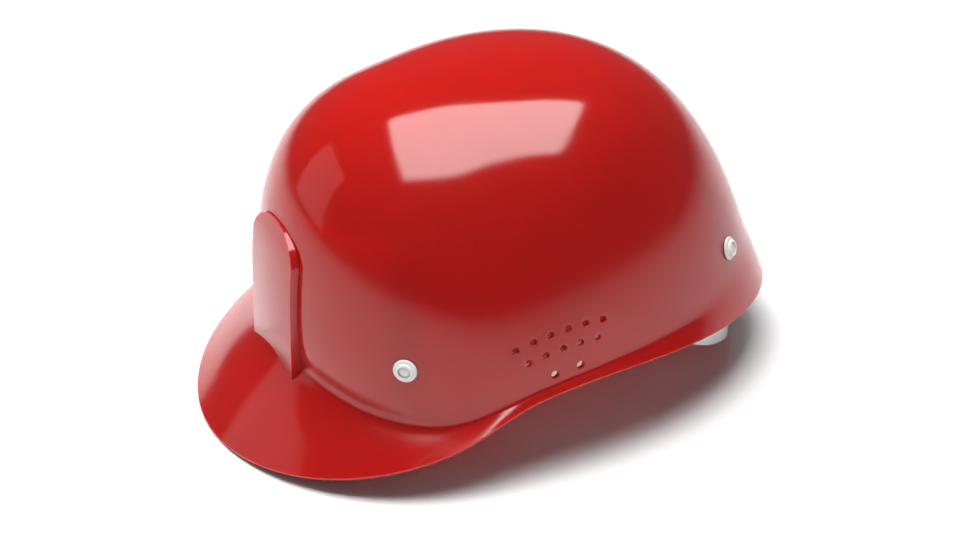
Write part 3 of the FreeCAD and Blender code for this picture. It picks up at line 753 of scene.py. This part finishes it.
def band_inward(point):
    gx = math.copysign((abs(point.x) / BAND_HALF_WIDTH) ** (BAND_POWER - 1) / BAND_HALF_WIDTH, point.x)
    dy = point.y - band_mid_y
    gy = math.copysign((abs(dy) / band_half_length) ** (BAND_POWER - 1) / band_half_length, dy)
    return -Vector((gx, gy, 0)).normalized()


brow_line = [band_point(BROW_HALF_ANGLE * (2 * i / BROW_STEPS - 1)) for i in range(BROW_STEPS + 1)]
brow_run = [0.0]
for a, b in zip(brow_line, brow_line[1:]):
    brow_run.append(brow_run[-1] + (b - a).length)
brow_length = brow_run[-1]


def on_brow(along, height, depth):
    """A place in the pad: along it from its middle, height, and depth inwards from the band."""
    want = along + brow_length / 2
    i = next((k for k, run in enumerate(brow_run[1:]) if run >= want), BROW_STEPS - 1)
    share = (want - brow_run[i]) / (brow_run[i + 1] - brow_run[i])
    base = brow_line[i].lerp(brow_line[i + 1], share)
    return base + band_inward(base) * (BAND_THICK + BROW_GAP + depth) + Vector((0, 0, height))


def brow_fullness(along, height):
    """Foam thickness: thin at the stitched border, full inside it, ends rounded."""
    half_long, half_high = brow_length / 2, (BROW_HIGH - BROW_LOW) / 2
    to_edge = min(half_long - abs(along), half_high - abs(height - (BROW_HIGH + BROW_LOW) / 2))
    inside = max(0.0, to_edge - SEAM_MARGIN) / FOAM_RISE
    border = SEAM_THICK * min(1.0, max(0.0, to_edge) / SEAM_ROUND) ** 0.5
    return border + (BROW_THICK - 1.9) * (1 - (1 - min(1.0, inside)) ** 2) * (1 if inside > 0 else 0)


def brow_skin():
    """The cover: a round-cornered grid made double and bent round the band."""
    bm = bmesh.new()
    bmesh.ops.create_grid(bm, x_segments=150, y_segments=34, size=0.5)
    half_long = brow_length / 2
    middle = (BROW_HIGH + BROW_LOW) / 2
    half_high = (BROW_HIGH - BROW_LOW) / 2
    bmesh.ops.scale(bm, vec=(2 * half_long, 2 * half_high, 1), verts=bm.verts)
    for vert in bm.verts:
        past = abs(vert.co.x) - (half_long - BROW_CORNER)
        if past > 0:
            reach = half_high - BROW_CORNER + math.sqrt(max(0.0, BROW_CORNER ** 2 - past ** 2))
            vert.co.y *= reach / half_high
    bmesh.ops.solidify(bm, geom=bm.faces[:], thickness=1.0)
    top = max(v.co.z for v in bm.verts)
    for vert in bm.verts:
        along, height = vert.co.x, vert.co.y + middle
        outer = abs(vert.co.z - top) < 0.5
        full = brow_fullness(along * 0.999, height)
        depth = full if outer else BROW_BACK * min(1.0, full)
        vert.co = on_brow(along, height, depth)
    return bm


brow = finish_piece(brow_skin(), "brow_pad_cover", smooth_angle=80.0)
print("brow pad", len(brow.data.polygons), "faces")


def swell(piece, pressure, frames, limit):
    """Cloth with pressure, applied to the mesh, each point held within limit of its start."""
    start = [v.co.copy() for v in piece.data.vertices]
    cloth = piece.modifiers.new("swell", "CLOTH")
    cloth.settings.quality = 5
    cloth.settings.mass = 0.2
    cloth.settings.use_pressure = True
    cloth.settings.uniform_pressure_force = pressure
    cloth.settings.tension_stiffness = 8
    cloth.settings.compression_stiffness = 8
    cloth.settings.bending_stiffness = 0.3
    cloth.settings.effector_weights.gravity = 0.0
    cloth.collision_settings.use_collision = False
    pins = piece.vertex_groups.new(name="seam")
    pins.add([v.index for v in piece.data.vertices if piece_pin(v.co)], 1.0, "REPLACE")
    cloth.settings.vertex_group_mass = "seam"
    scene = bpy.context.scene
    for frame_number in range(1, frames + 1):
        scene.frame_set(frame_number)
    graph = bpy.context.evaluated_depsgraph_get()
    moved = piece.evaluated_get(graph).data
    moves = [moved.vertices[i].co - p for i, p in enumerate(start)]
    for i, (p, move) in enumerate(zip(start, moves)):
        if move.length > limit:
            move = move.normalized() * limit
        piece.data.vertices[i].co = p + move
    piece.modifiers.clear()
    piece.vertex_groups.clear()
    scene.frame_set(1)


frame_to_level = level_to_frame.inverted()
PINNED_DEPTH = 1.45


def piece_pin(co):
    """The back of the pad and its stitched border stay where they are."""
    p = frame_to_level @ co
    flat = Vector((p.x, p.y, 0))
    nearest = min(range(0, BROW_STEPS + 1, 4), key=lambda k: (brow_line[k] - flat).length_squared)
    return (flat - brow_line[nearest]).length < BAND_THICK + BROW_GAP + PINNED_DEPTH


swell(brow, pressure=3.0, frames=12, limit=0.0009)
smooth = brow.modifiers.new("cover", "SUBSURF")
smooth.levels = 1
smooth.render_levels = 1
apply_modifiers(brow)
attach(brow, "cap")
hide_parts("brow_pad")
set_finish(brow, "brow_fabric")

# %% [markdown]
# The cover is sewn along both long borders. A row of stitches could be a texture,
# but a raised thread catches the light, so each stitch is a small drawn-out ball
# laid on the border, a few dozen faces each.

# %% Stitching along the pad
STITCH_LENGTH = 2.6
STITCH_GAP = 0.9
THREAD = 0.55
STITCH_FROM_EDGE = 1.7
STITCH_FROM_END = 5.0
STITCH_LIFT = 0.1
stitches = []


def stitch(place_a, place_b):
    """One stitch: a small ball drawn out from place to place."""
    bm = bmesh.new()
    bmesh.ops.create_uvsphere(bm, u_segments=8, v_segments=6, radius=0.5)
    run = place_b - place_a
    turn = run.to_track_quat("Z", "Y").to_matrix().to_4x4()
    size = Matrix.Diagonal((THREAD, THREAD, run.length, 1))
    bmesh.ops.transform(bm, matrix=Matrix.Translation((place_a + place_b) / 2) @ turn @ size, verts=bm.verts)
    return bm


for height in (BROW_LOW + STITCH_FROM_EDGE, BROW_HIGH - STITCH_FROM_EDGE):
    along = -brow_length / 2 + STITCH_FROM_END
    while along + STITCH_LENGTH < brow_length / 2 - STITCH_FROM_END:
        ends = [on_brow(s, height, brow_fullness(s, height) + STITCH_LIFT)
                for s in (along, along + STITCH_LENGTH)]
        stitches.append(stitch(*ends))
        along += STITCH_LENGTH + STITCH_GAP
thread = finish_piece(joined(stitches), "brow_pad_thread", smooth_angle=80.0, clean=False)
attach(thread, "cap")
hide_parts("brow_pad")
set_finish(thread, "brow_fabric")
print("stitches", len(stitches))

# %% [markdown]
# Finishes. Effects that several materials share are node groups: a slow drift of
# tone, the slight unevenness of a moulded skin, and the dulling and scratches that
# handling leaves. Each puts out a colour, roughness, mask or normal; the shader
# itself stays in each material, so every finish can be read in one place.

# %% Helpers for node groups
def new_group(name, inputs, outputs):
    group = bpy.data.node_groups.new(name, "ShaderNodeTree")
    for label, kind, value in inputs:
        socket = group.interface.new_socket(label, in_out="INPUT", socket_type="NodeSocket" + kind)
        socket.default_value = value
    for label, kind in outputs:
        group.interface.new_socket(label, in_out="OUTPUT", socket_type="NodeSocket" + kind)
    return group, group.nodes.new("NodeGroupInput"), group.nodes.new("NodeGroupOutput")


def noise(tree, vector, scale, detail=2.0, roughness=0.5):
    node = tree.nodes.new("ShaderNodeTexNoise")
    node.inputs["Detail"].default_value = detail
    node.inputs["Roughness"].default_value = roughness
    tree.links.new(vector, node.inputs["Vector"])
    if isinstance(scale, float):
        node.inputs["Scale"].default_value = scale
    else:
        tree.links.new(scale, node.inputs["Scale"])
    return node


def remap(tree, value, low, high, to_low, to_high):
    node = tree.nodes.new("ShaderNodeMapRange")
    node.interpolation_type = "SMOOTHSTEP"
    tree.links.new(value, node.inputs["Value"])
    for label, number in (("From Min", low), ("From Max", high), ("To Min", to_low), ("To Max", to_high)):
        if isinstance(number, float):
            node.inputs[label].default_value = number
        else:
            tree.links.new(number, node.inputs[label])
    return node.outputs["Result"]


def math_node(tree, operation, a, b):
    node = tree.nodes.new("ShaderNodeMath")
    node.operation = operation
    for i, value in enumerate((a, b)):
        if isinstance(value, float):
            node.inputs[i].default_value = value
        else:
            tree.links.new(value, node.inputs[i])
    return node.outputs[0]


# %% [markdown]
# No plastic has quite one colour: pigment streaks a little in the mould. A noise
# on Object coordinates lifts and lowers the colour's value by a few per cent.

# %% Tone drift
tone_group, tone_in, tone_out = new_group(
    "tone_drift", [("Colour", "Color", (0.8, 0.8, 0.8, 1)), ("Amount", "Float", 0.06),
                   ("Scale", "Float", 18.0)], [("Colour", "Color")])
where = tone_group.nodes.new("ShaderNodeTexCoord").outputs["Object"]
drift = noise(tone_group, where, tone_in.outputs["Scale"], 3.0, 0.55)
less = math_node(tone_group, "SUBTRACT", 1.0, tone_in.outputs["Amount"])
more = math_node(tone_group, "ADD", 1.0, tone_in.outputs["Amount"])
level = remap(tone_group, drift.outputs["Fac"], 0.32, 0.68, less, more)
shift = tone_group.nodes.new("ShaderNodeHueSaturation")
tone_group.links.new(tone_in.outputs["Colour"], shift.inputs["Color"])
tone_group.links.new(level, shift.inputs["Value"])
tone_group.links.new(shift.outputs["Color"], tone_out.inputs["Colour"])

# %% [markdown]
# A moulding shrinks as it cools, which leaves long soft waves, and its mould
# leaves a fine grain. Both are far too shallow to model, so two Bump nodes in a
# row tilt the normal: reflections then swim a little, as they do on real plastic.

# %% Moulded skin
skin_group, skin_in, skin_out = new_group(
    "moulded_skin", [("Waves", "Float", 0.3), ("Wave Scale", "Float", 30.0), ("Grain", "Float", 0.1),
                     ("Grain Scale", "Float", 900.0)], [("Normal", "Vector")])
where = skin_group.nodes.new("ShaderNodeTexCoord").outputs["Object"]
waves = noise(skin_group, where, skin_in.outputs["Wave Scale"], 1.0, 0.4)
grain = noise(skin_group, where, skin_in.outputs["Grain Scale"], 2.0, 0.6)
long_bump = skin_group.nodes.new("ShaderNodeBump")
long_bump.inputs["Distance"].default_value = 0.001
skin_group.links.new(skin_in.outputs["Waves"], long_bump.inputs["Strength"])
skin_group.links.new(waves.outputs["Fac"], long_bump.inputs["Height"])
fine_bump = skin_group.nodes.new("ShaderNodeBump")
fine_bump.inputs["Distance"].default_value = 0.0001
skin_group.links.new(skin_in.outputs["Grain"], fine_bump.inputs["Strength"])
skin_group.links.new(grain.outputs["Fac"], fine_bump.inputs["Height"])
skin_group.links.new(long_bump.outputs["Normal"], fine_bump.inputs["Normal"])
skin_group.links.new(fine_bump.outputs["Normal"], skin_out.inputs["Normal"])

# %% [markdown]
# Handling dulls the gloss in patches and leaves hairline scratches. Noise makes
# the patches. The scratches are noise stretched long one way, twice and crosswise,
# and only show inside the patches, because that is where hands and shelves rub.

# %% Handling
use_group, use_in, use_out = new_group(
    "handling", [("Gloss", "Float", 0.2), ("Dulling", "Float", 0.06), ("Scratches", "Float", 0.15)],
    [("Roughness", "Float"), ("Scratch Mask", "Float")])
where = use_group.nodes.new("ShaderNodeTexCoord").outputs["Object"]
patches = noise(use_group, where, 22.0, 4.0, 0.6)
dulled = remap(use_group, patches.outputs["Fac"], 0.42, 0.72, 0.0, 1.0)
masks = []
for turn, stretch in ((0.4, (40.0, 900.0, 40.0)), (-0.9, (700.0, 30.0, 60.0))):
    place = use_group.nodes.new("ShaderNodeMapping")
    place.inputs["Rotation"].default_value = (turn, 0.3 * turn, turn)
    place.inputs["Scale"].default_value = stretch
    use_group.links.new(where, place.inputs["Vector"])
    lines = noise(use_group, place.outputs["Vector"], 1.0, 1.0, 0.4)
    masks.append(remap(use_group, lines.outputs["Fac"], 0.66, 0.72, 0.0, 1.0))
both = math_node(use_group, "MAXIMUM", masks[0], masks[1])
where_used = math_node(use_group, "MULTIPLY", both, dulled)
scratched = math_node(use_group, "MULTIPLY", where_used, use_in.outputs["Scratches"])
softer = math_node(use_group, "MULTIPLY", dulled, use_in.outputs["Dulling"])
rough = math_node(use_group, "ADD", use_in.outputs["Gloss"], softer)
rough = math_node(use_group, "ADD", rough, scratched)
use_group.links.new(rough, use_out.inputs["Roughness"])
use_group.links.new(where_used, use_out.inputs["Scratch Mask"])
print("groups", [g.name for g in bpy.data.node_groups])

# %% [markdown]
# Every plastic here is built the same way, so one function places the three
# groups in a new material. Numbers that don't change over the surface, such as
# the refraction or the depth of scattering, go straight on the shader.

# %% A moulded plastic from the shared groups
def group_node(tree, group, **values):
    node = tree.nodes.new("ShaderNodeGroup")
    node.node_tree = group
    for label, value in values.items():
        node.inputs[label.replace("_", " ")].default_value = value
    return node


def moulded_plastic(name, colour, gloss, dulling, drift_amount, waves, wave_scale, grain, scratches,
                    scatter=0.0, scatter_depth=0.001, scatter_tint=(1.0, 0.9, 0.8)):
    finish = bpy.data.materials.new(name)
    finish.use_nodes = True
    tree = finish.node_tree
    shader = tree.nodes["Principled BSDF"]
    tone = group_node(tree, tone_group, Colour=(*colour, 1), Amount=drift_amount)
    skin = group_node(tree, skin_group, Waves=waves, Wave_Scale=wave_scale, Grain=grain)
    use = group_node(tree, use_group, Gloss=gloss, Dulling=dulling, Scratches=scratches)
    tree.links.new(tone.outputs["Colour"], shader.inputs["Base Color"])
    tree.links.new(use.outputs["Roughness"], shader.inputs["Roughness"])
    tree.links.new(skin.outputs["Normal"], shader.inputs["Normal"])
    shader.inputs["IOR"].default_value = 1.52
    shader.inputs["Subsurface Weight"].default_value = scatter
    shader.inputs["Subsurface Scale"].default_value = scatter_depth
    shader.inputs["Subsurface Radius"].default_value = scatter_tint
    return finish


# %% [markdown]
# The shell is pigmented polyethylene straight off a polished mould: it shows the
# lights almost as a mirror would, with only a faint swell. Natural polyethylene
# and nylon have no pigment, so light enters and scatters: that is subsurface.

# %% Plastics
red_polyethylene = moulded_plastic(
    "red_polyethylene", (0.42, 0.0062, 0.0040), gloss=0.11, dulling=0.04, drift_amount=0.035, waves=0.22,
    wave_scale=26.0, grain=0.05, scratches=0.10, scatter=0.8, scatter_depth=0.012,
    scatter_tint=(1.0, 0.04, 0.03))
natural_polyethylene = moulded_plastic(
    "natural_polyethylene", (0.80, 0.81, 0.79), gloss=0.34, dulling=0.10, drift_amount=0.03, waves=0.25,
    wave_scale=60.0, grain=0.30, scratches=0.15, scatter=0.35, scatter_depth=0.003)
white_nylon = moulded_plastic(
    "white_nylon", (0.82, 0.81, 0.78), gloss=0.26, dulling=0.10, drift_amount=0.03, waves=0.2,
    wave_scale=120.0, grain=0.35, scratches=0.12, scatter=0.5, scatter_depth=0.0015)
print("plastics", [m.name for m in (red_polyethylene, natural_polyethylene, white_nylon)])

# %% [markdown]
# The pad's cover is a fine terry knit. Its loops could be modelled, but there are
# thousands, so they are the cells of a Voronoi texture, fuzzed with noise. They
# raise the surface, the gaps get painted shade, and a little sheen is the fibre ends.

# %% Knitted cover and thread
def knitted(name, colour, gap_painted_shade, loop_scale, depth):
    finish = bpy.data.materials.new(name)
    finish.use_nodes = True
    tree = finish.node_tree
    shader = tree.nodes["Principled BSDF"]
    where = tree.nodes.new("ShaderNodeTexCoord").outputs["Object"]
    loops = tree.nodes.new("ShaderNodeTexVoronoi")
    loops.inputs["Scale"].default_value = loop_scale
    loops.inputs["Randomness"].default_value = 0.55
    tree.links.new(where, loops.inputs["Vector"])
    raised = remap(tree, loops.outputs["Distance"], 0.1, 0.75, 1.0, 0.0)
    fuzz = noise(tree, where, loop_scale * 2.6, 3.0, 0.7)
    height = math_node(tree, "ADD", raised, math_node(tree, "MULTIPLY", fuzz.outputs["Fac"], 0.5))
    mix = tree.nodes.new("ShaderNodeMix")
    mix.data_type = "RGBA"
    # The gaps between the loops get the darker colour: painted shade.
    mix.inputs["A"].default_value = (*gap_painted_shade, 1)
    mix.inputs["B"].default_value = (*colour, 1)
    tree.links.new(raised, mix.inputs["Factor"])
    tone = group_node(tree, tone_group, Amount=0.12, Scale=60.0)
    tree.links.new(mix.outputs["Result"], tone.inputs["Colour"])
    bump = tree.nodes.new("ShaderNodeBump")
    bump.inputs["Strength"].default_value = 0.8
    bump.inputs["Distance"].default_value = depth
    tree.links.new(height, bump.inputs["Height"])
    tree.links.new(tone.outputs["Colour"], shader.inputs["Base Color"])
    tree.links.new(bump.outputs["Normal"], shader.inputs["Normal"])
    shader.inputs["Roughness"].default_value = 0.85
    shader.inputs["Sheen Weight"].default_value = 0.35
    shader.inputs["Sheen Roughness"].default_value = 0.5
    return finish


# The second colour of each knit is the painted shade in the gaps between loops.
terry = knitted("terry_knit", (0.045, 0.047, 0.052), (0.012, 0.012, 0.014), 1500.0, 0.00035)
thread_finish = knitted("polyester_thread", (0.10, 0.10, 0.11), (0.03, 0.03, 0.035), 5200.0, 0.00008)

# %% [markdown]
# Spring wire is bright drawn steel. Drawing leaves fine lines along the wire and
# handling leaves it a little uneven, so only the roughness changes over it.

# %% Spring steel
spring_steel = bpy.data.materials.new("spring_steel")
spring_steel.use_nodes = True
steel_tree = spring_steel.node_tree
steel = steel_tree.nodes["Principled BSDF"]
steel.inputs["Metallic"].default_value = 1.0
steel_tone = group_node(steel_tree, tone_group, Colour=(0.56, 0.56, 0.58, 1), Amount=0.08, Scale=700.0)
steel_use = group_node(steel_tree, use_group, Gloss=0.2, Dulling=0.15, Scratches=0.2)
steel_tree.links.new(steel_tone.outputs["Colour"], steel.inputs["Base Color"])
steel_tree.links.new(steel_use.outputs["Roughness"], steel.inputs["Roughness"])

# %% [markdown]
# Last of the looks, each piece gets the finish that its slot names. The CAD nodes
# that are still shown get theirs too, so nothing is left in plain grey.

# %% Put each finish on its pieces
finish_of_slot = {"red_shell": red_polyethylene, "natural_ldpe": natural_polyethylene,
                  "white_nylon": white_nylon, "brow_fabric": terry, "spring_steel": spring_steel}
node_slot = {part["node"]: part["material_slot"] for part in frame["record"]["subparts"]}
for node, carried in frame["nodes"].items():
    carried.data.materials.clear()
    carried.data.materials.append(finish_of_slot[node_slot[node]])
for piece in list(bpy.context.scene.collection.all_objects):
    if piece.type != "MESH" or piece == floor or piece.name in frame["nodes"]:
        continue
    slot_name = piece.get("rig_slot")
    chosen = thread_finish if piece == thread else finish_of_slot.get(slot_name)
    if chosen is None:
        print("no finish for", piece.name)
        continue
    piece.data.materials.clear()
    piece.data.materials.append(chosen)
print("finishes", sorted({m.name for m in bpy.data.materials}))
